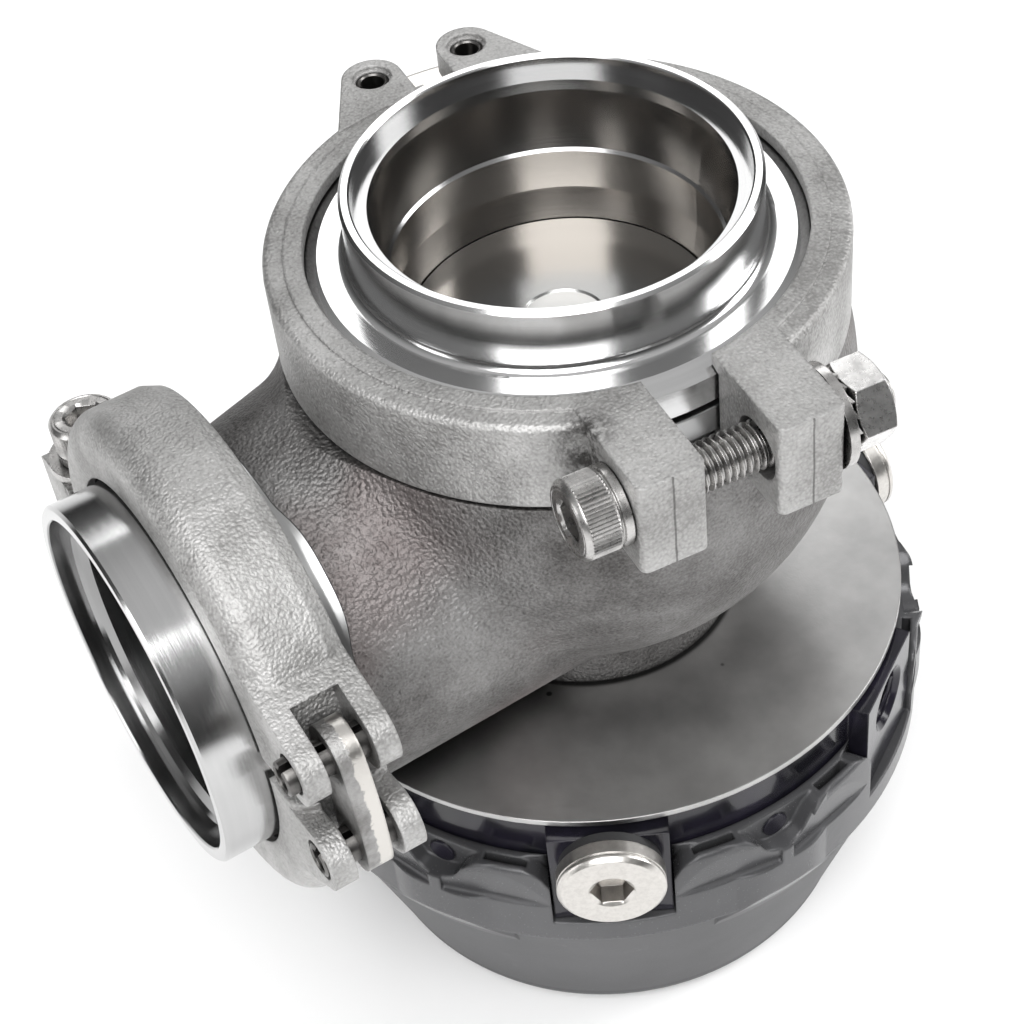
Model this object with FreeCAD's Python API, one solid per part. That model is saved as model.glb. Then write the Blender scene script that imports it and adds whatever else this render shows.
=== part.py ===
import FreeCAD, Part
import os
from math import asin, cos, degrees, pi, radians, sin, sqrt, tan

# Turbo wastegate, millimetres. +Z is the valve axis and points to the exhaust inlet.
# The origin is on the valve axis in the flat end of the actuator cap; the outlet points to -X.

V = FreeCAD.Vector
ORIGIN = V(0, 0, 0)
UP = V(0, 0, 1)
os.makedirs("parts", exist_ok=True)

# Heights above the cap's flat end
rim_z = 166.0                # mouth of the inlet weld flange
inlet_clamp_z = 147.45       # middle of the inlet clamp and of its flange pair
bowl_z = inlet_clamp_z - 23.55   # centre of the round valve chamber
outlet_z = 101.9             # outlet axis
base_top_z = 70.5            # top of the actuator base
port_z = 63.3                # axis of the pressure ports in the actuator base
inlet_clamp_az = 84.05       # where each clamp's hinge points
outlet_clamp_az = -169.8
far = 300.0                  # cutting tools reach past everything

# Clearances
free_gap = 0.3               # between pieces that move past each other
running_fit = 0.05           # radial, link on its pins and nut on its bolt
sliding_fit = 0.06           # radial, stem in its guide
press_fit = 0.005            # radial, pressed pins and sleeves

# Weld flanges, sized by the tubes that they take
inlet_tube_r = 31.75
outlet_tube_r = 30.15
inlet_socket_r = inlet_tube_r + 0.39
outlet_socket_r = outlet_tube_r + 0.15
socket_depth = 3.1
inlet_rim_r = 34.0
outlet_rim_r = 33.0
inlet_ledge_r = 29.7
outlet_ledge_r = 28.0
outlet_throat_r = 25.8

# V flanges
v_slope = tan(radians(20.0))
inlet_v_r = 42.6
outlet_v_r = 38.5
inlet_v_width = 5.0
outlet_v_width = 4.6
inlet_neck_r = 40.4
outlet_neck_r = 33.2

# Valve seat and valve
seat_flange_t = 1.5
seat_flange_r = 38.0
seat_lip_z = 149.6
seat_lip_r = 30.0
seat_outer_r = 31.0
seat_mouth_r = 27.6
seat_throat_r = 26.7
seat_edge_z = 136.0          # where the 45 degree seat starts
seat_face = 2.3              # height of the seat face
valve_face_r = 26.4
valve_r = 28.9
valve_rim_h = 1.7
valve_lift = 12.0
stem_r = 4.0
stem_shoulder_z = 42.6
stem_thread_r = 3.0
stem_end_z = 31.0

# Housing casting
bowl_r = 49.2
chamber_r = 45.0
shelf_z = inlet_clamp_z - 9.55   # top of the bowl, under the inlet clamp
chamber_roof_z = shelf_z - 3.5
chamber_floor_z = 84.0
passage_end_x = 12.25
branch_root_r = 38.5
branch_rise = 11.4
branch_blend_r = 10.0
underside_z = 74.0
foot_r = 27.5
guide_boss_r = 11.0
guide_boss_z = 94.0
guide_r = 7.0
guide_top_z = 100.0

# Heat shield, gasket and actuator base
base_r = 57.0
shield_r = base_r + 1.2
shield_t = 1.2
gasket_r = 30.0
gasket_t = 1.5
stem_hole_r = 8.0
base_bottom_z = 48.0
cavity_r = base_r - 11.0
cavity_top_z = 52.0
screw_circle_r = 20.0
screw_r = 3.0
screw_hole_r = 3.3
screw_head_r = 5.0
screw_head_h = 6.0
screw_seat_z = 59.0
screw_end_z = 81.0
bushing_r = 7.5
seal_r = 8.5
port_az = {"plug": -120.0, "open": -58.5, "side": 0.0}
plugged_ports = ("plug", "side")
boss_half_w = 10.5
boss_face = base_r + 2.8
port_r = 5.3
port_depth = 12.0
air_hole_r = 2.0
air_hole_at = 43.0
plug_head_r = 9.5
plug_head_t = 4.4
plug_washer_t = 1.8
plug_washer_r = 9.0
retaining_pin_r = 2.45
retaining_pin_z = 58.6
retaining_pin_len = 8.0
crest_count = 6
crest_az = -90.0

# Actuator cap
skirt_bore_r = base_r + 0.4
inner_rim_r = skirt_bore_r + 1.3
pocket_r = inner_rim_r + 1.6
skirt_r = pocket_r + 1.4
crest_r = skirt_r + 1.1
crest_half = 5.5             # degrees
outlet_half_w = 8.05
outlet_clamp_x = crest_r + 0.4 + outlet_half_w   # the clamp just clears the cap
outlet_rim_x = outlet_clamp_x + 17.15
branch_end_x = outlet_clamp_x - 11.45
crest_fade = 3.5             # degrees
crest_fade_z = 33.0
skirt_top_z = 62.4
dip_depth = 6.6
dip_half_w = 8.2
crease_z = 41.0
cap_end_r = 48.0
cap_edge = 5.0
cap_wall = 3.4
cap_floor_z = 4.0
window_gap = 0.4
window_flare = 4.0           # the rim rounds down towards a window
window_drop = 4.5
pocket_start = 8.6           # degrees from the crest
pocket_end = 16.0
pocket_z = 57.0
facet_az = 11.2              # flat facets in the skirt either side of a crest
facet_depth = 0.75
facet_top_z = 60.5
facet_z = 52.5
facet_half_w = 11.0
bead_t = 2.5

# Diaphragm stack and springs
bead_inner_r = base_r - 6.0
web_top_z = 40.6
web_t = 1.2
web_r = 42.0
plate_t = 2.0
plate_r = 40.0
retainer_r = 38.0
retainer_nut_h = 5.0
spring_radii = {"outer_spring": 33.0, "inner_spring": 19.0}
wire_radii = {"outer_spring": 2.5, "inner_spring": 2.0}
spring_turns = 3.5

# Clamps: each half is a V ring with a hinge ear and a bolt lug
clamp_play = 0.32            # V groove to flange
link_slot = 8.3
link_t = 4.3
link_eye_r = 5.2
link_band = 4.6
pin_r = 3.0
pin_recess = 0.6
ear_r = 5.4
hinge_half_gap = 2.2
bolt_r = 3.95
fixed_bolt_hole_r = 4.3
swing_bolt_hole_r = 4.75
swing_bolt_slot = 1.3        # the swinging lug's hole is longer outwards
bolt_head_r = 6.5
bolt_head_h = 8.0
hex_key = 6.0
washer_r = 8.5
washer_t = 1.6
lock_washer_r = 7.4
lock_washer_t = 1.2
nut_flats = 13.0
nut_h = 6.5
nut_travel = 6.6

inlet_ring_r = inlet_v_r + 5.2
inlet = {
    "half_width": 8.75, "lip_r": inlet_v_r - 1.5, "outer_r": inlet_ring_r, "v_r": inlet_v_r,
    "v_half": inlet_v_width + seat_flange_t / 2, "pin_at": inlet_ring_r + 6.4,
    "pin_half_angle": 9.77, "bolt_at": 180.0, "bolt_n": inlet_ring_r + 5.5,
    "lug_root": inlet_ring_r - 7.8, "lug_n": inlet_ring_r + 13.1,
    "lug_a": (-17.35, -6.05), "lug_b": (6.05, 17.35), "head_washer": 0.0, "lock": True,
}
outlet_ring_r = outlet_v_r + 6.0
outlet = {
    "half_width": outlet_half_w, "lip_r": outlet_v_r - 4.6, "outer_r": outlet_ring_r,
    "v_r": outlet_v_r, "v_half": outlet_v_width, "pin_at": outlet_ring_r + 4.5,
    "pin_half_angle": 10.8, "bolt_at": 175.8, "bolt_n": outlet_ring_r + 3.9,
    "lug_root": outlet_ring_r - 7.5, "lug_n": outlet_ring_r + 11.7,
    "lug_a": (-10.0, 3.3), "lug_b": (11.3, 22.6), "head_washer": washer_t, "lock": False,
}


def turned(points, full=360, start=0):
    """Solid of revolution about Z; (r, z) is a corner, (rm, zm, r, z) ends an arc through m."""
    first = V(points[0][0], 0, points[0][1])
    here = first
    edges = []
    for point in points[1:]:
        there = V(point[-2], 0, point[-1])
        if len(point) == 4:
            edges.append(Part.Arc(here, V(point[0], 0, point[1]), there).toShape())
        else:
            edges.append(Part.LineSegment(here, there).toShape())
        here = there
    edges.append(Part.LineSegment(here, first).toShape())
    solid = Part.Face(Part.Wire(edges)).revolve(ORIGIN, UP, full)
    solid.rotate(ORIGIN, UP, start)
    return solid


def disc(r, z0, z1, x=0.0, y=0.0):
    return Part.makeCylinder(r, z1 - z0, V(x, y, z0))


def block(x0, x1, y0, y1, z0, z1):
    return Part.makeBox(x1 - x0, y1 - y0, z1 - z0, V(x0, y0, z0))


def polar(r, azimuth, z=0.0):
    return V(r * cos(radians(azimuth)), r * sin(radians(azimuth)), z)


def radial_rod(r, azimuth, z, start, end):
    return Part.makeCylinder(r, end - start, polar(start, azimuth, z), polar(1, azimuth))


def turn(shape, azimuth):
    copy = shape.copy()
    copy.rotate(ORIGIN, UP, azimuth)
    return copy


def prism(points, z0, z1):
    outline = [V(x, y, z0) for x, y in points]
    return Part.Face(Part.makePolygon(outline + [outline[0]])).extrude(V(0, 0, z1 - z0))


def hexagon(across_flats, z0, z1):
    corner = across_flats / sqrt(3)
    return prism([(corner * cos(k * pi / 3), corner * sin(k * pi / 3)) for k in range(6)], z0, z1)


def along(shape, position, direction):
    """Carry a piece made on +Z to a position and direction."""
    copy = shape.copy()
    copy.Placement = FreeCAD.Placement(position, FreeCAD.Rotation(UP, direction))
    return copy


def to_inlet(shape):
    copy = turn(shape, inlet_clamp_az)
    copy.translate(V(0, 0, inlet_clamp_z))
    return copy


def to_outlet(shape):
    """Local X, Y, Z become +Y, -Z and -X at the middle of the outlet clamp."""
    matrix = FreeCAD.Matrix(0, 0, -1, -outlet_clamp_x, 1, 0, 0, 0, 0, -1, 0, outlet_z, 0, 0, 0, 1)
    copy = turn(shape, outlet_clamp_az)
    copy.Placement = FreeCAD.Placement(matrix).multiply(copy.Placement)
    return copy


def fuse(*shapes):
    solid = shapes[0]
    for shape in shapes[1:]:
        solid = solid.fuse(shape)
    return solid.removeSplitter()


def save(name, shape):
    solids = shape.Solids
    result = solids[0] if len(solids) == 1 else Part.makeCompound(solids)
    state = "valid" if result.isValid() else "NOT VALID"
    print(name, len(solids), state, round(result.Volume))
    result.exportStep("parts/" + name + ".step")


# Inlet side: weld flange, seat and valve

inlet_top = inlet_clamp_z + seat_flange_t / 2
inlet_under = inlet_clamp_z - seat_flange_t / 2
v_shoulder_r = 39.0
v_shoulder_z = inlet_top + inlet_v_width + (inlet_v_r - v_shoulder_r) * v_slope
pilot_r = seat_lip_r + press_fit
save("inlet_weld_flange", turned([
    (inlet_socket_r + 0.3, rim_z), (inlet_rim_r - 0.5, rim_z), (inlet_rim_r, rim_z - 0.5),
    (inlet_rim_r, v_shoulder_z + 1.8),
    (inlet_rim_r + 0.5, v_shoulder_z + 0.5, inlet_rim_r + 1.8, v_shoulder_z),
    (v_shoulder_r, v_shoulder_z), (inlet_v_r, inlet_top + inlet_v_width), (inlet_v_r, inlet_top),
    (pilot_r, inlet_top), (pilot_r, seat_lip_z), (seat_mouth_r, seat_lip_z),
    (seat_mouth_r + 0.5, seat_lip_z + 0.5), (inlet_ledge_r, rim_z - socket_depth - 2.0),
    (inlet_ledge_r, rim_z - socket_depth), (inlet_socket_r, rim_z - socket_depth),
    (inlet_socket_r, rim_z - 0.3)]))

seat_bottom_z = seat_edge_z - seat_face
save("valve_seat", turned([
    (seat_mouth_r, seat_lip_z), (seat_lip_r, seat_lip_z), (seat_lip_r, inlet_top),
    (seat_flange_r, inlet_top), (seat_flange_r, inlet_under), (seat_outer_r, inlet_under),
    (seat_outer_r, seat_bottom_z), (seat_throat_r + seat_face, seat_bottom_z),
    (seat_throat_r, seat_edge_z), (seat_mouth_r, seat_edge_z + 6.0)]))

valve_face_z = seat_edge_z - 0.1
valve_edge_z = valve_face_z - (valve_r - valve_face_r)
valve = turned([
    (0, valve_face_z - 0.9), (1.2, valve_face_z - 0.3), (7.0, valve_face_z - 0.3),
    (7.4, valve_face_z), (valve_face_r, valve_face_z), (valve_r, valve_edge_z),
    (valve_r, valve_edge_z - valve_rim_h), (valve_r - 1.5, valve_edge_z - valve_rim_h - 1.2),
    (13.0, 125.5, stem_r, 113.0), (stem_r, stem_shoulder_z), (stem_thread_r, stem_shoulder_z),
    (stem_thread_r, stem_end_z + 0.6), (stem_thread_r - 0.6, stem_end_z), (0, stem_end_z)])
save("valve", valve)

# Housing casting

inlet_cone_h = (inlet_v_r - inlet_neck_r) * v_slope
top_z = inlet_under - inlet_v_width
bowl = Part.makeSphere(bowl_r, V(0, 0, bowl_z))
ring = Part.Wire(Part.makeCircle(outlet_neck_r, V(-branch_end_x, 0, outlet_z), V(1, 0, 0)))
root = Part.Wire(Part.makeCircle(branch_root_r, V(0, 0, outlet_z + branch_rise), V(1, 0, 0)))
body = bowl.fuse(Part.makeLoft([ring, root], True)).removeSplitter()
round_to_lofted = {"Sphere", "BSplineSurface"}
seam = [edge for edge in body.Edges if round_to_lofted == {
    type(face.Surface).__name__ for face in body.ancestorsOfType(edge, Part.Face)}]
body = body.makeFillet(branch_blend_r, seam)
body = body.common(block(-branch_end_x, far, -far, far, underside_z, shelf_z))
neck = turned([(0, inlet_under), (inlet_v_r, inlet_under), (inlet_v_r, top_z),
               (inlet_neck_r, top_z - inlet_cone_h), (inlet_neck_r, bowl_z), (0, bowl_z)])
foot = disc(foot_r, base_top_z + gasket_t + shield_t, bowl_z)
outlet_cone_h = (outlet_v_r - outlet_neck_r) * v_slope
neck_start = branch_end_x - outlet_clamp_x
outlet_end = turned([
    (0, neck_start), (outlet_neck_r, neck_start),
    (outlet_neck_r, -outlet_v_width - outlet_cone_h),
    (outlet_v_r, -outlet_v_width), (outlet_v_r, 0), (0, 0)])
outlet_end = to_outlet(outlet_end)
housing = fuse(body, foot, neck, outlet_end)

chamber = Part.makeSphere(chamber_r, V(0, 0, bowl_z))
chamber = chamber.common(block(-far, far, -far, far, chamber_floor_z, chamber_roof_z))
passage = Part.makeCylinder(outlet_throat_r, outlet_clamp_x + 1 - passage_end_x,
                            V(-outlet_clamp_x - 1, 0, outlet_z), V(1, 0, 0))
boss = disc(guide_boss_r, chamber_floor_z - 8, guide_boss_z)
hollow = chamber.fuse(passage).cut(boss)
housing = housing.cut(hollow)
housing = housing.cut(disc(seat_outer_r + 0.2, chamber_roof_z - 1, inlet_under + 1))
housing = housing.cut(disc(guide_r + press_fit, 0, bowl_z))
screw_spots = [polar(screw_circle_r, 45 + 90 * k) for k in range(4)]
for spot in screw_spots:
    housing = housing.cut(disc(screw_r + press_fit, 0, screw_end_z + 0.5, spot.x, spot.y))
save("valve_housing", housing)

save("valve_guide", turned([
    (stem_r + sliding_fit, guide_top_z), (guide_r - 1.0, guide_top_z), (guide_r, guide_top_z - 1.5),
    (guide_r, base_top_z + 4.0), (stem_r + sliding_fit, base_top_z + 4.0)]))

# Outlet weld flange

shoulder = outlet_v_width + (outlet_v_r - outlet_rim_r) * v_slope
mouth = outlet_rim_x - outlet_clamp_x
save("outlet_weld_flange", to_outlet(turned([
    (outlet_throat_r, 0), (outlet_v_r, 0), (outlet_v_r, outlet_v_width),
    (outlet_rim_r + 1.2, shoulder - 1.2 * v_slope),
    (outlet_rim_r + 0.3, shoulder + 0.2, outlet_rim_r, shoulder + 1.2),
    (outlet_rim_r, mouth - 0.5), (outlet_rim_r - 0.5, mouth), (outlet_socket_r + 0.3, mouth),
    (outlet_socket_r, mouth - 0.3), (outlet_socket_r, mouth - socket_depth),
    (outlet_ledge_r, mouth - socket_depth), (outlet_ledge_r - 0.4, mouth - socket_depth - 0.8),
    (outlet_throat_r + 0.4, mouth - socket_depth - 2.0)])))

# Heat shield, gasket, actuator base and what it carries

shield = disc(shield_r, base_top_z + gasket_t, base_top_z + gasket_t + shield_t)
gasket = disc(gasket_r, base_top_z, base_top_z + gasket_t)
base = disc(base_r, base_bottom_z, base_top_z)
for azimuth in port_az.values():
    boss = block(cavity_r, boss_face, -boss_half_w, boss_half_w, base_bottom_z, base_top_z)
    base = base.fuse(turn(boss, azimuth))
base = base.cut(disc(cavity_r, base_bottom_z - 1, cavity_top_z))
base = base.cut(disc(seal_r, cavity_top_z - 1, cavity_top_z + 4.5))
base = base.cut(disc(bushing_r + press_fit, cavity_top_z, base_top_z + 1))
for spot in screw_spots:
    hole = disc(screw_hole_r, 0, far, spot.x, spot.y)
    shield = shield.cut(hole)
    gasket = gasket.cut(hole)
    base = base.cut(hole)
    base = base.cut(disc(screw_head_r + 0.4, 0, screw_seat_z, spot.x, spot.y))
for azimuth in port_az.values():
    base = base.cut(radial_rod(port_r, azimuth, port_z, boss_face - port_depth, boss_face + 5))
    base = base.cut(radial_rod(air_hole_r, azimuth, port_z, air_hole_at, boss_face - 5))
    spot = polar(air_hole_at, azimuth)
    base = base.cut(disc(air_hole_r, cavity_top_z - 1, port_z, spot.x, spot.y))
    flare = Part.makeCone(port_r, port_r + 1.0, 1.0, polar(boss_face - 1.0, azimuth, port_z),
                          polar(1, azimuth))
    base = base.cut(flare)
crests = [crest_az + 360 / crest_count * k for k in range(crest_count)]
pin_start = inner_rim_r - retaining_pin_len
for azimuth in crests:
    hole = radial_rod(retaining_pin_r + press_fit, azimuth, retaining_pin_z, pin_start, base_r + 3)
    base = base.cut(hole)
save("heat_shield", shield.cut(disc(stem_hole_r, 0, far)))
save("insulating_gasket", gasket.cut(disc(stem_hole_r, 0, far)))
save("actuator_base", base.removeSplitter())
save("stem_bushing", turned([
    (stem_r + sliding_fit, cavity_top_z + 5.0), (bushing_r, cavity_top_z + 5.0),
    (bushing_r, base_top_z - 0.5), (stem_r + sliding_fit, base_top_z - 0.5)]))
save("stem_seal", turned([
    (stem_r + 0.03, cavity_top_z + 0.6), (seal_r - 0.05, cavity_top_z + 0.6),
    (seal_r - 0.05, cavity_top_z + 4.3), (stem_r + 0.6, cavity_top_z + 4.3),
    (stem_r + 0.03, cavity_top_z + 3.0)]))

screws = []
for spot in screw_spots:
    screw = disc(screw_head_r, screw_seat_z - screw_head_h, screw_seat_z)
    screw = screw.fuse(disc(screw_r, screw_seat_z - 1, screw_end_z))
    screw = screw.cut(hexagon(5.0, screw_seat_z - screw_head_h - 1, screw_seat_z - 3.0))
    screw.translate(V(spot.x, spot.y, 0))
    screws.append(screw.removeSplitter())
save("base_screws", Part.makeCompound(screws))

pins = []
for azimuth in crests:
    pins.append(radial_rod(retaining_pin_r, azimuth, retaining_pin_z, pin_start, inner_rim_r + 0.3))
save("cap_pins", Part.makeCompound(pins))

washer = disc(plug_washer_r, 0, plug_washer_t)
washer = washer.cut(disc(port_r + 0.7, -1, plug_washer_t + 1))
plug = turned([
    (0, 1 - port_depth), (port_r - 1.0, 1 - port_depth), (port_r, 2 - port_depth), (port_r, 0),
    (plug_head_r, 0), (plug_head_r, plug_head_t - 0.7), (plug_head_r - 0.7, plug_head_t),
    (0, plug_head_t)])
plug = plug.cut(hexagon(8.0, plug_head_t - 4.5, plug_head_t + 1))
washers = []
plugs = []
for azimuth in [port_az[port] for port in plugged_ports]:
    washers.append(along(washer, polar(boss_face, azimuth, port_z), polar(1, azimuth)))
    plugs.append(along(plug, polar(boss_face + plug_washer_t, azimuth, port_z),
                       polar(1, azimuth)))
save("port_plug_washer", Part.makeCompound(washers))
save("port_plug", Part.makeCompound(plugs))

# Actuator cap: a turned cup whose skirt has six soft crests, each with a dip in its top edge


def radial_cut(outline, start, azimuth):
    """Cut from radius start outwards; outline is (across, z), a smooth open curve closed on top."""
    curve = Part.BSplineCurve()
    curve.interpolate([V(start, across, z) for across, z in outline])
    first = curve.StartPoint
    last = curve.EndPoint
    lid = [V(start, last.y, far), V(start, first.y, far)]
    edges = [curve.toShape(), Part.LineSegment(last, lid[0]).toShape(),
             Part.LineSegment(lid[0], lid[1]).toShape(), Part.LineSegment(lid[1], first).toShape()]
    tool = Part.Face(Part.Wire(edges)).extrude(V(far, 0, 0))
    return turn(tool, azimuth)


inner_skirt_r = skirt_bore_r - 0.2
cap = turned([
    (0, 0), (cap_end_r - cap_edge, 0),
    (cap_end_r - 1.2, 1.6, cap_end_r + 0.9, cap_edge + 0.6),
    (skirt_r - 1.3, crease_z), (skirt_r, crease_z + 1.8), (skirt_r, skirt_top_z - 1.0),
    (skirt_r - 0.3, skirt_top_z - 0.3, skirt_r - 1.0, skirt_top_z),
    (skirt_bore_r, skirt_top_z), (skirt_bore_r, base_bottom_z - bead_t),
    (inner_skirt_r, base_bottom_z - bead_t), (inner_skirt_r, crease_z),
    (cap_end_r - cap_wall + 1.0, cap_floor_z + 5.0),
    (cap_end_r - cap_wall - 1.0, cap_floor_z + 1.2, cap_end_r - cap_wall - 5.0, cap_floor_z),
    (0, cap_floor_z)])
crest_limit = turned([
    (skirt_bore_r - 6.0, crest_fade_z), (skirt_r - 4.5, crest_fade_z),
    (crest_r - 0.9, crease_z + 1.5), (crest_r + 1.0, crease_z + 6.5),
    (crest_r + 1.0, skirt_top_z - 1.5), (crest_r - 1.2, skirt_top_z),
    (skirt_bore_r - 6.0, skirt_top_z)])
crest_curve = Part.BSplineCurve()
crest_end = crest_half + 2 * crest_fade
crest_curve.interpolate([
    polar(skirt_r - 1.0, -crest_end), polar(skirt_r + 0.05, -crest_half - crest_fade),
    polar(crest_r - 0.1, -crest_half), polar(crest_r, 0), polar(crest_r - 0.1, crest_half),
    polar(skirt_r + 0.05, crest_half + crest_fade), polar(skirt_r - 1.0, crest_end)])
roots = [polar(skirt_bore_r - 5.0, crest_end), polar(skirt_bore_r - 5.0, -crest_end)]
crest_wire = Part.Wire([
    crest_curve.toShape(), Part.LineSegment(crest_curve.EndPoint, roots[0]).toShape(),
    Part.LineSegment(roots[0], roots[1]).toShape(),
    Part.LineSegment(roots[1], crest_curve.StartPoint).toShape()])
crest = Part.Face(crest_wire).extrude(V(0, 0, skirt_top_z))
crest = crest.common(crest_limit).cut(disc(skirt_bore_r + 0.5, 0, far))
dip = [(-dip_half_w - 5.0, skirt_top_z + 0.9), (-dip_half_w, skirt_top_z + 0.1),
       (-dip_half_w * 0.72, skirt_top_z - dip_depth * 0.28),
       (-dip_half_w * 0.42, skirt_top_z - dip_depth * 0.86), (0, skirt_top_z - dip_depth),
       (dip_half_w * 0.42, skirt_top_z - dip_depth * 0.86),
       (dip_half_w * 0.72, skirt_top_z - dip_depth * 0.28),
       (dip_half_w, skirt_top_z + 0.1), (dip_half_w + 5.0, skirt_top_z + 0.9)]
facet = Part.Face(Part.makePolygon([
    V(skirt_r - facet_depth, -facet_half_w, facet_z + 0.4),
    V(skirt_r - facet_depth * 0.6, -facet_half_w, facet_z),
    V(crest_r + 2.0, -facet_half_w, facet_z), V(crest_r + 2.0, -facet_half_w, facet_top_z),
    V(skirt_r, -facet_half_w, facet_top_z),
    V(skirt_r - facet_depth, -facet_half_w, facet_z + 0.4)])).extrude(V(0, 2 * facet_half_w, 0))
for azimuth in crests:
    cap = cap.fuse(turn(crest, azimuth))
for azimuth in crests:
    cap = cap.cut(radial_cut(dip, inner_rim_r, azimuth))
    cap = cap.cut(radial_rod(retaining_pin_r + press_fit, azimuth, retaining_pin_z, pin_start,
                             crest_r + 5.0))
    sweep = pocket_end - pocket_start
    for start in (pocket_start, -pocket_end):
        pocket = turned([(inner_rim_r, pocket_z), (pocket_r, pocket_z), (pocket_r, far),
                         (inner_rim_r, far)], sweep, azimuth + start)
        cap = cap.cut(pocket)
    for side in (-facet_az, facet_az):
        cap = cap.cut(turn(facet, azimuth + side))
window_half_w = boss_half_w + window_gap
flare_z = skirt_top_z - window_drop
flare = [(-window_half_w - window_flare - 3.0, skirt_top_z + 1.2),
         (-window_half_w - window_flare, skirt_top_z - 0.2),
         (-window_half_w - window_flare * 0.4, skirt_top_z - window_drop * 0.35),
         (-window_half_w, flare_z), (0, flare_z - 2.0), (window_half_w, flare_z),
         (window_half_w + window_flare * 0.4, skirt_top_z - window_drop * 0.35),
         (window_half_w + window_flare, skirt_top_z - 0.2),
         (window_half_w + window_flare + 3.0, skirt_top_z + 1.2)]
for azimuth in port_az.values():
    window = block(base_r - 5.0, far, -window_half_w, window_half_w, base_bottom_z - 0.2, far)
    cap = cap.cut(turn(window.cut(disc(skirt_bore_r, 0, far)), azimuth))
    cap = cap.cut(radial_cut(flare, skirt_bore_r - 1.0, azimuth))
save("actuator_cap", cap.removeSplitter())

# Diaphragm stack and springs

web_bottom_z = web_top_z - web_t
bead_bottom_z = base_bottom_z - bead_t
save("diaphragm", turned([
    (stem_thread_r + 0.2, web_top_z), (web_r, web_top_z), (web_r + 2.5, web_top_z + 1.0),
    (bead_inner_r - 2.0, base_bottom_z - 1.0), (bead_inner_r, base_bottom_z),
    (skirt_bore_r - 0.4, base_bottom_z), (skirt_bore_r - 0.4, bead_bottom_z),
    (bead_inner_r + 2.0, bead_bottom_z), (bead_inner_r, bead_bottom_z + 0.6),
    (web_r + 3.5, web_bottom_z + 0.2), (web_r + 2.0, web_bottom_z), (stem_thread_r + 0.2, web_bottom_z)]))
plate = turned([
    (stem_thread_r + 0.1, web_top_z), (plate_r, web_top_z), (plate_r, web_top_z + 1.0),
    (plate_r - 1.0, web_top_z + plate_t), (stem_thread_r + 0.1, web_top_z + plate_t)])
save("diaphragm_plate", plate)
retainer_bottom_z = web_bottom_z - plate_t
save("spring_retainer", turned([
    (stem_thread_r + 0.1, web_bottom_z), (retainer_r, web_bottom_z),
    (retainer_r, retainer_bottom_z - 2.0), (retainer_r - 1.4, retainer_bottom_z - 2.0),
    (retainer_r - 1.4, retainer_bottom_z), (15.5, retainer_bottom_z),
    (15.5, retainer_bottom_z - 2.0), (14.0, retainer_bottom_z - 2.0), (14.0, retainer_bottom_z),
    (stem_thread_r + 0.1, retainer_bottom_z)]))
nut = hexagon(10.0, retainer_bottom_z - retainer_nut_h, retainer_bottom_z)
save("retainer_nut", nut.cut(disc(stem_thread_r + press_fit, 0, far)))


def coil_spring(radius, wire, bottom, top):
    """Half turns of an eight-sided wire, each tilted to climb its share of the height."""
    halves = int(2 * spring_turns)
    rise = (top - bottom - 2 * wire) / halves
    slope = degrees(asin(rise / 2 / radius))
    section = [(radius + wire * cos(k * pi / 4 + pi / 8), wire * sin(k * pi / 4 + pi / 8))
               for k in range(8)]
    turns = []
    for k in range(halves):
        half = turned(section, 180)
        half.rotate(ORIGIN, V(0, 1, 0), slope)
        half = turn(half, 180 * k)
        half.translate(V(0, 0, bottom + wire + rise * (k + 0.5)))
        turns.append(half)
    return turns[0].multiFuse(turns[1:])


for name in spring_radii:
    save(name, coil_spring(spring_radii[name], wire_radii[name], cap_floor_z + 0.1,
                           retainer_bottom_z - 0.1))


# Clamps

def groove_half(c, r):
    return c["v_half"] + (c["v_r"] - r) * v_slope + clamp_play


def clamp_ring(c):
    """Outside of the V ring; the outlet one has a stepped front and a smaller back edge."""
    w = c["half_width"]
    r = c["outer_r"]
    if c is inlet:
        return turned([
            (0, w), (r - 3.5, w), (r - 3.5, w - 0.3), (r - 1.2, w - 0.3),
            (r - 0.35, w - 0.65, r, w - 1.5), (r, -w + 1.2), (r - 0.35, -w + 0.35, r - 1.2, -w),
            (0, -w)])
    return turned([
        (0, w), (r - 4.0, w), (r - 1.2, w - 1.65, r, w - 5.3), (r, -w + 2.6), (r - 1.1, -w),
        (0, -w)])


def bolt_frame(c, shape):
    """Carry a shape from (n, t, z) at the bolt side into the hinge frame."""
    return turn(shape, c["bolt_at"])


def pin_spot(c, side):
    return polar(c["pin_at"], side * c["pin_half_angle"])


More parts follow.
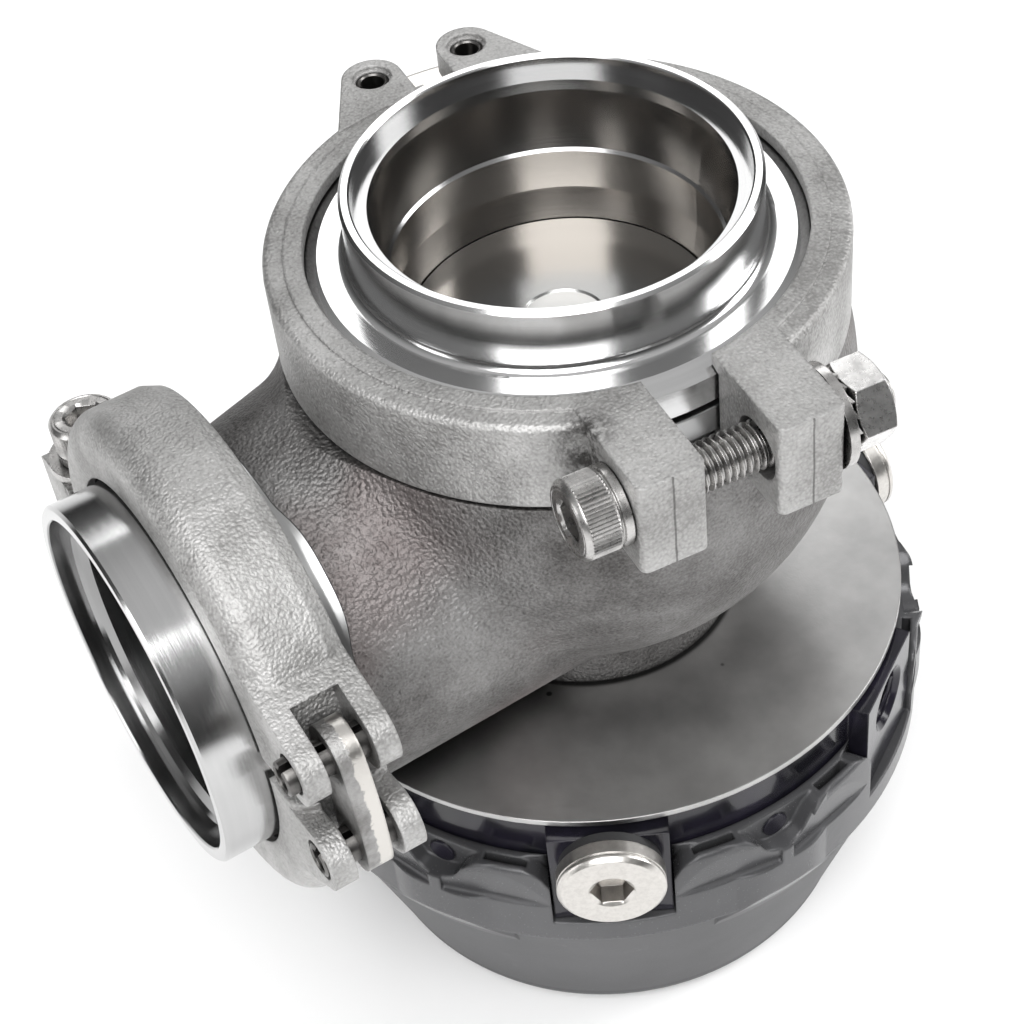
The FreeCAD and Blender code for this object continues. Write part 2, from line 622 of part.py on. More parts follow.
def clamp_half(c, side):
    """side +1 is the fixed half, -1 the half that swings."""
    w = c["half_width"]
    h = w + 1.0
    lug = c["lug_a"] if side > 0 else c["lug_b"]
    t0, t1 = lug
    face = t1 if side > 0 else t0
    body = clamp_ring(c)
    if side > 0:
        keep = block(-10, far, hinge_half_gap, far, -h, h)
        keep = keep.fuse(bolt_frame(c, block(-10, far, -far, face, -h, h)))
    else:
        keep = block(-10, far, -far, -hinge_half_gap, -h, h)
        keep = keep.fuse(bolt_frame(c, block(-10, far, face, far, -h, h)))
    body = body.common(keep)
    lug_block = block(c["lug_root"], c["lug_n"], t0, t1, -w, w)
    uprights = [e for e in lug_block.Edges if abs(e.Vertexes[0].X - c["lug_n"]) < 1e-6
                and abs(e.Vertexes[1].X - c["lug_n"]) < 1e-6
                and abs(e.Vertexes[0].Z - e.Vertexes[1].Z) > 1]
    lug_block = lug_block.makeFillet(1.3, uprights)
    body = body.fuse(bolt_frame(c, lug_block))
    spot = pin_spot(c, side)
    ear = disc(ear_r, -w, w, spot.x, spot.y)
    lean = radians(65)
    corners = [
        (c["lip_r"] + 3, side * (abs(spot.y) - ear_r)), (spot.x, side * (abs(spot.y) - ear_r)),
        (spot.x + ear_r * cos(lean), spot.y + side * ear_r * sin(lean)),
        (spot.x + ear_r * cos(lean) - 14.0, spot.y + side * (ear_r * sin(lean) + 6.5)),
        (c["lip_r"] + 3, spot.y + side * 2)]
    ear = ear.fuse(prism(corners, -w, w))
    body = body.fuse(ear)
    lip = c["lip_r"]
    deep = c["v_r"] + 0.5
    void = turned([(0, -w - 1), (lip, -w - 1), (lip, -groove_half(c, lip)),
                   (deep, -groove_half(c, deep)), (deep, groove_half(c, deep)),
                   (lip, groove_half(c, lip)), (lip, w + 1), (0, w + 1)])
    body = body.cut(void)
    reach = degrees(9.0 / c["pin_at"]) + c["pin_half_angle"]
    inner = c["pin_at"] - link_eye_r - 0.8
    slot = turned([(inner, -link_slot / 2), (inner + far, -link_slot / 2),
                   (inner + far, link_slot / 2), (inner, link_slot / 2)], 2 * reach, -reach)
    body = body.cut(slot)
    body = body.cut(disc(pin_r + press_fit, -w - 1, w + 1, spot.x, spot.y))
    for end in (-1, 1):
        sink = disc(pin_r + 0.5, 0, 1.0, spot.x, spot.y)
        sink.translate(V(0, 0, w - 0.8 if end > 0 else -w - 0.2))
        body = body.cut(sink)
    if side > 0 and c["head_washer"]:
        spotface = Part.makeCylinder(washer_r + 0.6, 12, V(c["bolt_n"], t0 - 12, 0), V(0, 1, 0))
        body = body.cut(bolt_frame(c, spotface))
    hole_r = fixed_bolt_hole_r if side > 0 else swing_bolt_hole_r
    hole = Part.makeCylinder(hole_r, t1 - t0 + 2, V(c["bolt_n"], t0 - 1, 0), V(0, 1, 0))
    if side < 0:
        far_end = hole.copy()
        far_end.translate(V(swing_bolt_slot, 0, 0))
        middle = block(c["bolt_n"], c["bolt_n"] + swing_bolt_slot, t0 - 1, t1 + 1, -hole_r, hole_r)
        hole = fuse(hole, far_end, middle)
    return body.cut(bolt_frame(c, hole)).removeSplitter()


def clamp_pin(c, side):
    w = c["half_width"] - pin_recess
    spot = pin_spot(c, side)
    return disc(pin_r, -w, w, spot.x, spot.y)


def clamp_link(c):
    """Curved strap with an eye at each pin."""
    r = c["pin_at"]
    angle = c["pin_half_angle"]
    band = turned([(r - link_band, -link_t / 2), (r + link_eye_r, -link_t / 2),
                   (r + link_eye_r, link_t / 2), (r - link_band, link_t / 2)], 2 * angle, -angle)
    for side in (-1, 1):
        spot = pin_spot(c, side)
        band = band.fuse(disc(link_eye_r, -link_t / 2, link_t / 2, spot.x, spot.y))
    for side in (-1, 1):
        spot = pin_spot(c, side)
        band = band.cut(disc(pin_r + running_fit, -9, 9, spot.x, spot.y))
    return band.removeSplitter()


def on_bolt(c, shape, t):
    """Carry a piece made on +Z to the bolt axis, its foot at t."""
    return bolt_frame(c, along(shape, V(c["bolt_n"], t, 0), V(0, 1, 0)))


def clamp_fasteners(c):
    """Bolt, head washer, nut washers and nut, placed along the bolt."""
    seat = c["lug_a"][0] - c["head_washer"]
    far = c["lug_b"][1] + free_gap
    stack = washer_t + (lock_washer_t if c["lock"] else 0)
    end = far + stack + nut_h + 1.8
    head = turned([(0, -bolt_head_h), (bolt_head_r - 0.8, -bolt_head_h),
                   (bolt_head_r, -bolt_head_h + 0.8), (bolt_head_r, 0), (0, 0)])
    head = head.cut(hexagon(hex_key, -bolt_head_h - 1, -bolt_head_h + 4.0))
    shank = turned([(0, -1), (bolt_r, -1), (bolt_r, end - seat - 0.8),
                    (bolt_r - 0.8, end - seat), (0, end - seat)])
    flat = disc(washer_r, 0, washer_t).cut(disc(bolt_r + running_fit, -1, 9))
    lock = disc(lock_washer_r, 0, lock_washer_t).cut(disc(bolt_r + running_fit, -1, 9))
    cone = turned([(0, 0), (nut_flats / 2, 0), (nut_flats / sqrt(3), 0.6),
                   (nut_flats / sqrt(3), nut_h - 0.6), (nut_flats / 2, nut_h), (0, nut_h)])
    hexnut = hexagon(nut_flats, 0, nut_h).common(cone).cut(disc(bolt_r + running_fit, -1, 9))
    pieces = {
        "bolt": on_bolt(c, head.fuse(shank).removeSplitter(), seat),
        "washer": on_bolt(c, flat, far),
        "nut": on_bolt(c, hexnut, far + stack),
    }
    if c["head_washer"]:
        pieces["head_washer"] = on_bolt(c, flat, seat)
    if c["lock"]:
        pieces["lock_washer"] = on_bolt(c, lock, far + washer_t)
    return pieces


for label, c, place in (("inlet_clamp_", inlet, to_inlet), ("outlet_clamp_", outlet, to_outlet)):
    save(label + "fixed_half", place(clamp_half(c, 1)))
    save(label + "swing_half", place(clamp_half(c, -1)))
    save(label + "pin_a", place(clamp_pin(c, 1)))
    save(label + "pin_b", place(clamp_pin(c, -1)))
    save(label + "link", place(clamp_link(c)))
    fasteners = clamp_fasteners(c)
    for piece in fasteners:
        save(label + piece, place(fasteners[piece]))
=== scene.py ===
import math

import bmesh
import bpy
from mathutils import Matrix, Vector


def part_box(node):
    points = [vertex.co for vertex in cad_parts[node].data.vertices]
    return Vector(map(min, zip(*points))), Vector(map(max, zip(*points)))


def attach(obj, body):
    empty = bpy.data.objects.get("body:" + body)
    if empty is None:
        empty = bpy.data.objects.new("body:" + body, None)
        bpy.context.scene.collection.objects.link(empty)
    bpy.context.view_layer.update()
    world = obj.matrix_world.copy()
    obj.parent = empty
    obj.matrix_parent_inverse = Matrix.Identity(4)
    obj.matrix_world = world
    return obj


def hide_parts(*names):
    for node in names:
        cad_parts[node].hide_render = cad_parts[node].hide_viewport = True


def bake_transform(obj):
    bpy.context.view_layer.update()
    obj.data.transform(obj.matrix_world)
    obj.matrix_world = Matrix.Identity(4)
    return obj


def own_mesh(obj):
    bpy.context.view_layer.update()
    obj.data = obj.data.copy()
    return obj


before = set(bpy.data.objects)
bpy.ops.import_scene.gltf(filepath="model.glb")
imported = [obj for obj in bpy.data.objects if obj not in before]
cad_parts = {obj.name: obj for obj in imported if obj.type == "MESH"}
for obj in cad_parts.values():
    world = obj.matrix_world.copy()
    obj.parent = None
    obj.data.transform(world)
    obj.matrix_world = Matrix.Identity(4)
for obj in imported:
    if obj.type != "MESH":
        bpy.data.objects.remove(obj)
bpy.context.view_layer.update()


# Valve housing: an investment casting in stainless steel, blasted to an even grain.
# The two V flanges and the short necks behind them are turned bright. By the outlet the tool
# ran on into the rough casting. Shade is painted into the corners and as a dark line along the
# foot where it stands on the shield.
class Wire:
    """A value inside a material's node tree, so that sums on it read as sums."""

    def __init__(self, finish, socket):
        self.finish = finish
        self.socket = socket

    def __add__(self, other):
        return self.finish.sum("ADD", self, other)

    def __sub__(self, other):
        return self.finish.sum("SUBTRACT", self, other)

    def __rsub__(self, other):
        return self.finish.sum("SUBTRACT", other, self)

    def __mul__(self, other):
        return self.finish.sum("MULTIPLY", self, other)

    def __truediv__(self, other):
        return self.finish.sum("DIVIDE", self, other)

    def __pow__(self, other):
        return self.finish.sum("POWER", self, other)

    def __abs__(self):
        return self.finish.sum("ABSOLUTE", self)

    __radd__ = __add__
    __rmul__ = __mul__


class Finish:
    """One material: a Principled shader and the nodes that feed it."""

    def __init__(self, name, colour, metallic, roughness, **fixed):
        self.material = bpy.data.materials.new(name)
        self.material.use_nodes = True
        self.tree = self.material.node_tree
        self.shader = self.tree.nodes["Principled BSDF"]
        self.shader.inputs["Base Color"].default_value = (*colour, 1)
        self.shader.inputs["Metallic"].default_value = metallic
        self.shader.inputs["Roughness"].default_value = roughness
        for socket, value in fixed.items():
            self.shader.inputs[self.label(socket)].default_value = value

    def label(self, socket):
        return socket.replace("_", " ").title().replace("Ior", "IOR")

    def node(self, kind, settings=None, sockets=None, out=0):
        made = self.tree.nodes.new(kind)
        for name, value in (settings or {}).items():
            if name == "stops":
                ramp = made.color_ramp.elements
                while len(ramp) < len(value):
                    ramp.new(0.5)
                for element, (at, colour) in zip(ramp, value):
                    element.position = at
                    element.color = (*colour, 1)
            else:
                setattr(made, name, value)
        for name, value in (sockets or {}).items():
            if isinstance(value, Wire):
                self.tree.links.new(value.socket, made.inputs[name])
            else:
                made.inputs[name].default_value = value
        return Wire(self, made.outputs[out])

    def sum(self, operation, *values):
        return self.node("ShaderNodeMath", {"operation": operation}, dict(enumerate(values)))

    def clamp(self, value, low, high):
        """0 below low, 1 above high, smooth between."""
        return self.node("ShaderNodeMapRange", {"interpolation_type": "SMOOTHSTEP"},
                         {"Value": value, "From Min": low, "From Max": high})

    def place(self):
        return self.node("ShaderNodeTexCoord", out="Object")

    def axes(self, vector):
        made = self.node("ShaderNodeSeparateXYZ", sockets={"Vector": vector})
        outputs = made.socket.node.outputs
        return [Wire(self, outputs[k]) for k in range(3)]

    def noise(self, vector, size, detail=3.0, rough=0.55):
        """Cloudy noise whose lumps are about size metres across."""
        return self.node("ShaderNodeTexNoise", sockets={
            "Vector": vector, "Scale": 1 / size, "Detail": detail, "Roughness": rough})

    def pebbles(self, vector, size):
        """Rounded lumps about size metres apart, 1 on their tops."""
        return 1 - self.node("ShaderNodeTexVoronoi", {"feature": "SMOOTH_F1"},
                             {"Vector": vector, "Scale": 1 / size, "Smoothness": 0.6})

    def colours(self, value, *stops):
        return self.node("ShaderNodeValToRGB", {"stops": stops}, {"Fac": value})

    def blend(self, factor, a, b):
        return self.node("ShaderNodeMix", {"data_type": "RGBA"}, {0: factor, 6: a, 7: b}, out=2)

    def edges(self, radius):
        """Shading normal with sharp edges rounded to a radius."""
        return self.node("ShaderNodeBevel", {"samples": 6}, {"Radius": radius})

    def creases(self, reach):
        """0 in narrow corners, 1 on open faces."""
        return self.node("ShaderNodeAmbientOcclusion", {"samples": 6}, {"Distance": reach}, out=1)

    def bump(self, height, depth, strength=1.0, under=None):
        sockets = {"Height": height, "Distance": depth, "Strength": strength}
        if under:
            sockets["Normal"] = under
        return self.node("ShaderNodeBump", sockets=sockets)

    def feed(self, **links):
        for socket, value in links.items():
            self.tree.links.new(value.socket, self.shader.inputs[self.label(socket)])


def wear(node, finish):
    """Give a CAD piece a finish in its own material slot."""
    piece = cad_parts[node]
    if not piece.material_slots:
        piece.data.materials.append(None)
    for slot in piece.material_slots:
        slot.link = "OBJECT"
        slot.material = finish.material


outlet_height = 0.1019
outlet_neck = 0.05985
inlet_neck = 0.1380
foot_line = 0.0734
runout_side = (-0.616, 0.788)
runout_reach = 0.0016
blast_grain = 0.00045

casting = Finish("blasted casting", (0.34, 0.335, 0.33), 1.0, 0.46)
at = casting.place()
x, y, z = casting.axes(at)
grain = casting.noise(at, blast_grain, 1.0, 0.5)
peel = casting.pebbles(at, 0.00075)
cloud = casting.noise(at, 0.030, 3.0, 0.6)
stain = casting.noise(at, 0.011, 4.0, 0.7)
warm = casting.noise(at, 0.045, 2.0, 0.5)
up = z - outlet_height
facing = (y * runout_side[0] + up * runout_side[1]) / (y * y + up * up) ** 0.5
runout = casting.clamp(facing, 0.90, 1.0) * runout_reach
turned = (casting.clamp(runout - x, outlet_neck, outlet_neck + 0.00015)
          + casting.clamp(z, inlet_neck, inlet_neck + 0.0002))
# Painted shadow: a dark line along the foot where it stands on the shield.
foot_shadow_line = 1 - casting.clamp(z, foot_line, foot_line + 0.0005)
corner = casting.creases(0.006)
cast_colour = casting.colours(
    cloud * 0.45 + stain * 0.30 + grain * 0.25, (0.36, (0.09, 0.086, 0.084)),
    (0.46, (0.18, 0.175, 0.172)), (0.58, (0.29, 0.286, 0.282)), (0.70, (0.38, 0.376, 0.372)))
tinted = casting.blend(casting.clamp(warm, 0.52, 0.68) * 0.35, cast_colour,
                       (0.27, 0.215, 0.21, 1))
# Painted shade: the colour goes dark in corners found by ambient occlusion and along the foot.
painted_shade = casting.sum("MAXIMUM", casting.clamp(1 - corner, 0.15, 0.75) * 0.75, foot_shadow_line)
shaded_casting = casting.blend(painted_shade, tinted, (0.05, 0.048, 0.046, 1))
casting.feed(
    base_color=casting.blend(turned, shaded_casting, (0.36, 0.36, 0.36, 1)),
    roughness=(0.52 + grain * 0.16) * (1 - turned) + turned * 0.28,
    normal=casting.bump((grain * 0.45 + peel * 0.55) * (1 - turned), 0.00048, 1.0,
                        casting.edges(0.0006)))
wear("valve_housing", casting)


# Inlet and outlet weld flanges and the seat ring: turned from stainless bar.
# Fine tool marks run round each axis and pull the reflections into bands; shade is painted into
# the bores as a darker colour.
def turned_steel(name, colour, roughness, axis, bore):
    finish = Finish(name, colour, 1.0, roughness)
    vector = finish.place()
    x, y, z = finish.axes(vector)
    if axis == "outlet":
        radius, along = (y * y + (z - outlet_height) ** 2) ** 0.5, x
    else:
        radius, along = (x * x + y * y) ** 0.5, z
    rings = finish.node("ShaderNodeCombineXYZ", sockets={0: radius, 1: along * 1.7, 2: 0.0})
    fine = finish.noise(rings, 0.00022, 2.0, 0.7)
    broad = finish.noise(rings, 0.0018, 2.0, 0.5)
    cloud = finish.noise(vector, 0.02, 2.0, 0.5)
    steel = finish.colours(broad * 0.5 + cloud * 0.5,
                           (0.35, tuple(c * 0.86 for c in colour)), (0.65, colour))
    finish.feed(
        # Painted shade: inside the bore radius the colour is darker.
        base_color=finish.blend(finish.clamp(radius, bore, bore + 0.0002),
                                tuple(c * 0.55 for c in colour) + (1,), steel),
        roughness=roughness * 0.7 + fine * roughness * 0.7,
        normal=finish.bump(fine, 0.000012, 0.7))
    return finish


wear("inlet_weld_flange", turned_steel(
    "turned inlet flange", (0.62, 0.62, 0.62), roughness=0.16, axis="inlet", bore=0.0322))
wear("outlet_weld_flange", turned_steel(
    "turned outlet flange", (0.54, 0.54, 0.54), roughness=0.15, axis="outlet", bore=0.0304))
wear("valve_seat", turned_steel(
    "turned seat", (0.80, 0.745, 0.69), roughness=0.18, axis="inlet", bore=0.0305))


# Valve and guide: a stainless poppet with a faced head, sliding in a bronze sleeve.
# The head's middle is faced to a brighter disc with a centre mark.
disc_radius = 0.0069

poppet = Finish("faced valve", (0.62, 0.62, 0.61), 1.0, 0.22)
at = poppet.place()
x, y, z = poppet.axes(at)
radius = (x * x + y * y) ** 0.5
rings = poppet.node("ShaderNodeCombineXYZ", sockets={0: radius, 1: z, 2: 0.0})
fine = poppet.noise(rings, 0.00025, 2.0, 0.7)
centre = 1 - poppet.clamp(radius, disc_radius, disc_radius + 0.0003)
poppet.feed(
    base_color=poppet.blend(centre, (0.30, 0.30, 0.295, 1), (0.56, 0.56, 0.55, 1)),
    roughness=0.16 + fine * 0.1 + centre * 0.12,
    normal=poppet.bump(fine, 0.00001, 0.7))
wear("valve", poppet)

bronze = Finish("turned bronze", (0.52, 0.36, 0.19), 1.0, 0.3)
at = bronze.place()
bronze.feed(roughness=0.24 + bronze.noise(at, 0.002) * 0.2)
wear("valve_guide", bronze)
wear("stem_bushing", bronze)


# Inlet and outlet V clamps: half rings cast in stainless steel and blasted to a light grain.
# Each lug keeps the fine parting line of its mould. A mottled patch of dirt and painted shade
# sits where the lug meets the ring, and shade is painted into the other corners.
inlet_clamp_height = 0.14745
outlet_clamp_reach = 0.07125
clamp_turns = {"inlet": math.radians(264.05), "outlet": math.radians(6.0)}


def along_clamp(finish, side):
    """Distances out through the bolt, along the bolt and across the clamp."""
    x, y, z = finish.axes(finish.place())
    if side == "inlet":
        first, second, across = x, y, z - inlet_clamp_height
    else:
        first, second, across = y, outlet_height - z, x + outlet_clamp_reach
    cos, sin = math.cos(clamp_turns[side]), math.sin(clamp_turns[side])
    return first * cos + second * sin, second * cos - first * sin, across


def clamp_casting(side, lug_middles, lug_end, corner_at):
    finish = Finish(side + " clamp casting", (0.56, 0.555, 0.55), 1.0, 0.44)
    at = finish.place()
    out, along = along_clamp(finish, side)[:2]
    grain = (finish.noise(at, blast_grain, 1.0, 0.5) + finish.pebbles(at, 0.0006)) * 0.5
    cloud = finish.noise(at, 0.016, 3.0, 0.6)
    line = 0.0
    for middle in lug_middles:
        wander = (finish.noise(at, 0.006, 1.0) - 0.5) * 0.0004
        line = line + (1 - finish.clamp(abs(along - middle + wander), 0.00008, 0.00024))
    line = line * finish.clamp(out, lug_end - 0.0003, lug_end - 0.0001)
    # Dirt and painted shade: a mottled dark patch in the corner where the lug meets the ring.
    reach = ((out - corner_at[0]) ** 2 + (along - corner_at[1]) ** 2) ** 0.5
    mottle = finish.noise(at, 0.0022, 4.0, 0.7)
    dark_marks = (1 - finish.clamp(reach, 0.0010, 0.0062)) * finish.clamp(mottle, 0.38, 0.62)
    # Painted shade: darker in corners found by ambient occlusion.
    painted_nook_shade = finish.clamp(1 - finish.creases(0.0035), 0.25, 0.85) * 0.7
    cast = finish.colours(cloud * 0.6 + grain * 0.4, (0.36, (0.30, 0.296, 0.29)),
                          (0.50, (0.44, 0.436, 0.43)), (0.64, (0.56, 0.555, 0.55)))
    # Painted shade and dirt, together with the real parting line, all darken the colour.
    painted_shade_dirt_and_line = finish.sum("MAXIMUM", finish.sum("MAXIMUM", dark_marks * 0.9, painted_nook_shade), line * 0.55)
    finish.feed(
        base_color=finish.blend(painted_shade_dirt_and_line, cast, (0.055, 0.052, 0.05, 1)),
        roughness=0.53 + grain * 0.14 + painted_shade_dirt_and_line * 0.10,
        normal=finish.bump(grain - line * 0.5, 0.00028, 1.0, finish.edges(0.0007)))
    return finish


inlet_casting = clamp_casting(
    "inlet", lug_middles=(-0.0117, 0.0117), lug_end=0.0609, corner_at=(0.0455, -0.0178))
outlet_casting = clamp_casting(
    "outlet", lug_middles=(-0.0034, 0.0170), lug_end=0.0562, corner_at=(0.0430, -0.0105))
for side, finish in (("inlet", inlet_casting), ("outlet", outlet_casting)):
    for piece in ("fixed_half", "swing_half"):
        wear(side + "_clamp_" + piece, finish)


# Clamp links: curved straps with an eye at each pin, cast like the clamps.
# The outside was ground on one side, which left a lighter facet with a ragged border.
def link_casting(side):
    finish = Finish(side + " link casting", (0.5, 0.495, 0.49), 1.0, 0.42)
    at = finish.place()
    across = along_clamp(finish, side)[2]
    grain = finish.noise(at, 0.0007, 4.0, 0.65)
    rag = finish.noise(at, 0.0016, 4.0, 0.7)
    if side == "outlet":
        ground = finish.clamp(across + (rag - 0.5) * 0.0022, -0.0002, 0.0001)
    else:
        ground = finish.clamp(across + (rag - 0.5) * 0.0016, 0.0010, 0.0012)
    cast = finish.colours(finish.noise(at, 0.006, 4.0, 0.65), (0.34, (0.20, 0.195, 0.19)),
                          (0.62, (0.42, 0.415, 0.41)))
    # Painted shade: darker in corners found by ambient occlusion.
    painted_nook_shade = finish.clamp(1 - finish.creases(0.003), 0.3, 0.9) * 0.7
    bare = finish.blend(ground, cast, (0.62, 0.60, 0.57, 1))
    finish.feed(
        base_color=finish.blend(painted_nook_shade, bare, (0.05, 0.048, 0.046, 1)),
        roughness=(0.30 + grain * 0.22) * (1 - ground * 0.25),
        normal=finish.bump(grain * (1 - ground * 0.8) + ground * 0.4, 0.0003, 1.0,
                           finish.edges(0.0008)))
    return finish


for side in ("inlet", "outlet"):
    wear(side + "_clamp_link", link_casting(side))


# Clamp screws: stainless socket screws with a straight knurl on the head and a rolled thread.
# Each draws the two lugs together through a washer and a hexagon nut.
def ring_stack(rings, count):
    """Closed surface through rings of count points; a ring is (radius, height).

    A radius or a height may be a function of the point's number, which gives flats and teeth.
    """
    mesh = bmesh.new()
    bmesh.ops.create_circle(mesh, segments=count, radius=1.0)
    number = mesh.verts.layers.int.new("number")
    for point in mesh.verts:
        point[number] = round(math.atan2(point.co.y, point.co.x) / math.tau * count) % count
    row = list(mesh.verts)
    edges = list(mesh.edges)
    for level, (radius, height) in enumerate(rings):
        if level:
            grown = bmesh.ops.extrude_edge_only(mesh, edges=edges)["geom"]
            row = [part for part in grown if isinstance(part, bmesh.types.BMVert)]
            edges = [part for part in grown
                     if isinstance(part, bmesh.types.BMEdge) and part.is_boundary]
        for point in row:
            k = point[number]
            r = radius(k) if callable(radius) else radius
            h = height(k) if callable(height) else height
            angle = math.tau * k / count
            point.co = (r * math.cos(angle), r * math.sin(angle), h)
    mesh.verts.layers.int.remove(number)
    bmesh.ops.remove_doubles(mesh, verts=mesh.verts, dist=1e-7)
    bmesh.ops.recalc_face_normals(mesh, faces=mesh.faces)
    return mesh


def flats(across, count):
    """Radius of a hexagon at each point, corners on the points that share a sixth of the turn."""
    span = count // 6
    return lambda k: across / 2 / math.cos(math.tau * (k % span - span / 2) / count)


def put(mesh, place):
    bmesh.ops.transform(mesh, matrix=place, verts=mesh.verts)
    return mesh


def joined(meshes):
    whole = bmesh.new()
    for mesh in meshes:
        part = bpy.data.meshes.new("part")
        mesh.to_mesh(part)
        mesh.free()
        whole.from_mesh(part)
        bpy.data.meshes.remove(part)
    return whole


def piece_from(mesh, name, body, nodes, finish):
    """Turn a finished mesh into a piece that rides on a body and stands for CAD nodes."""
    data = bpy.data.meshes.new(name)
    mesh.to_mesh(data)
    mesh.free()
    data.shade_smooth()
    data.set_sharp_from_angle(angle=math.radians(32.0))
    data.materials.append(finish.material)
    made = bpy.data.objects.new(name, data)
    bpy.context.scene.collection.objects.link(made)
    if body:
        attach(made, body)
    if nodes:
        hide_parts(*nodes)
    return made


def thread(major, minor, pitch, low, high, tip):
    """A ridge wound up +Z and trimmed flat at low and high; the last tip of it tapers."""
    mesh = bmesh.new()
    outline = [(major, 0.0), (major, 0.14), (minor, 0.46), (minor, 0.66), (major, 1.0)]
    points = [mesh.verts.new((r, 0, low + (up - 1.5) * pitch)) for r, up in outline]
    chain = [mesh.edges.new(pair) for pair in zip(points, points[1:])]
    steps = 32
    turns = math.ceil((high - low) / pitch) + 3
    bmesh.ops.spin(mesh, geom=points + chain, axis=(0, 0, 1), cent=(0, 0, 0), steps=steps * turns,
                   dvec=(0, 0, pitch / steps), angle=math.tau * turns)
    bmesh.ops.remove_doubles(mesh, verts=mesh.verts, dist=1e-7)
    for height, way in ((low, -1), (high, 1)):
        everything = list(mesh.verts) + list(mesh.edges) + list(mesh.faces)
        cut = bmesh.ops.bisect_plane(mesh, geom=everything, plane_co=(0, 0, height),
                                     plane_no=(0, 0, way), clear_outer=True)["geom_cut"]
        rim = [part for part in cut if isinstance(part, bmesh.types.BMEdge)]
        bmesh.ops.contextual_create(mesh, geom=rim)
    for point in mesh.verts:
        reach = math.hypot(point.co.x, point.co.y)
        most = minor + high - point.co.z
        if point.co.z > high - tip and reach > most:
            point.co.x *= most / reach
            point.co.y *= most / reach
    bmesh.ops.recalc_face_normals(mesh, faces=mesh.faces)
    return mesh


shank = 0.00395
neck_end = 0.0100
bolt_out = {"inlet": 0.0533, "outlet": 0.0484}


def screw_head():
    """Socket head, its foot at 0 and its face at -8 mm, with the plain neck under it."""
    count = 120
    key = flats(0.0060, count)
    side = 0.0065
    groove = 0.00618
    face = -0.0080

    def knurl(k):
        return side - 0.00028 * (k % 2)

    rings = [(0.0, -0.0030), (0.0022, -0.0036), (key, -0.0040), (key, face + 0.00045),
             (0.00375, face), (0.0052, face), (0.00535, face + 0.00015), (0.0055, face),
             (0.0058, face), (0.0064, face + 0.0006), (side, face + 0.00085),
             (knurl, face + 0.00105), (knurl, -0.0024), (side, -0.0022), (groove, -0.0020),
             (groove, -0.0018), (side, -0.0016), (side, -0.0003), (0.0062, 0.0), (0.0044, 0.0),
             (shank, 0.0004), (shank, neck_end), (0.0, neck_end)]
    return ring_stack(rings, count)


def bolt_place(side, foot):
    """Where +Z of a piece made at the origin becomes the bolt's axis, its foot that far along."""
    if side == "inlet":
        ring = Matrix.Translation((0, 0, inlet_clamp_height))
    else:
        ring = Matrix(((0, 0, -1, -outlet_clamp_reach), (1, 0, 0, 0), (0, -1, 0, outlet_height),
                       (0, 0, 0, 1)))
    upright = Matrix(((1, 0, 0, 0), (0, 0, 1, 0), (0, -1, 0, 0), (0, 0, 0, 1)))
    return (ring @ Matrix.Rotation(clamp_turns[side], 4, "Z")
            @ Matrix.Translation((bolt_out[side], foot, 0)) @ upright)


def plain_stainless(name, colour, roughness, edge):
    finish = Finish(name, colour, 1.0, roughness)
    at = finish.place()
    marks = finish.noise(at, 0.0008, 4.0, 0.65)
    cloud = finish.noise(at, 0.003, 3.0, 0.6)
    # Painted shade: darker in corners and recesses such as the hex socket.
    painted_nook_shade = finish.clamp(1 - finish.creases(0.0022), 0.3, 0.85) * 0.85
    steel = finish.colours(cloud, (0.32, tuple(c * 0.68 for c in colour)), (0.58, colour))
    finish.feed(
        base_color=finish.blend(painted_nook_shade, steel, (0.05, 0.048, 0.045, 1)),
        roughness=roughness * 0.75 + marks * roughness * 0.6,
        normal=finish.bump(marks, 0.00003, 0.6, finish.edges(edge)))
    return finish


screw_steel = plain_stainless("rolled stainless", (0.52, 0.51, 0.50), 0.27, 0.00012)
for side, foot, length in (("inlet", -0.01735, 0.0461), ("outlet", -0.0116, 0.0444)):
    wound = thread(major=shank, minor=0.0032, pitch=0.00125, low=neck_end, high=length, tip=0.0009)
    screw = put(joined([screw_head(), wound]), bolt_place(side, foot))
    piece_from(screw, side + "_clamp_screw", "housing",
               [side + "_clamp_bolt"], screw_steel)


# Clamp nuts and washers: plated, chamfered hexagon nuts on flat stainless washers.
# The inlet clamp also has a toothed lock washer, each tooth twisted out of the sheet.
def hexagon_nut():
    count = 72
    side = flats(0.0130, count)
    height = 0.0065
    bore = 0.00425
    mouth = 0.0047
    lead = 0.0005
    rim = 0.0062

    def fall(k):
        return (side(k) - rim) * 0.55

    rings = [(bore, lead), (mouth, 0.0), (rim, 0.0), (side, fall),
             (side, lambda k: height - fall(k)), (rim, height), (mouth, height),
             (bore, height - lead), (bore, lead)]
    return ring_stack(rings, count)


def lock_washer():
    count = 108
    step = 6
    bore = 0.0042
    root = 0.0058
    low = 0.00035
    high = 0.00085

    def on_tooth(k):
        return k % step < step - 2

    def tooth(k):
        return 0.0074 if on_tooth(k) else 0.0064

    def lean(k):
        return 0.00032 * (k % step - 1.5) / 1.5 if on_tooth(k) else 0.0

    rings = [(bore, low), (root, low), (tooth, lambda k: low + lean(k)),
             (tooth, lambda k: high + lean(k)), (root, high), (bore, high), (bore, low)]
    return ring_stack(rings, count)


nut_steel = plain_stainless("plated nut", (0.80, 0.79, 0.78), 0.27, 0.00025)
for side, foot in (("inlet", 0.02045), ("outlet", 0.0245)):
    nut = put(hexagon_nut(), bolt_place(side, foot))
    piece_from(nut, side + "_clamp_hexagon", side + "_nut",
               [side + "_clamp_nut"], nut_steel)
toothed = put(lock_washer(), bolt_place("inlet", foot=0.01925))
piece_from(toothed, "inlet_clamp_toothed_washer", "inlet_nut",
           ["inlet_clamp_lock_washer"], screw_steel)
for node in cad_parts:
    if "clamp" in node and "washer" in node or node in ("base_screws", "retainer_nut"):
        wear(node, screw_steel)


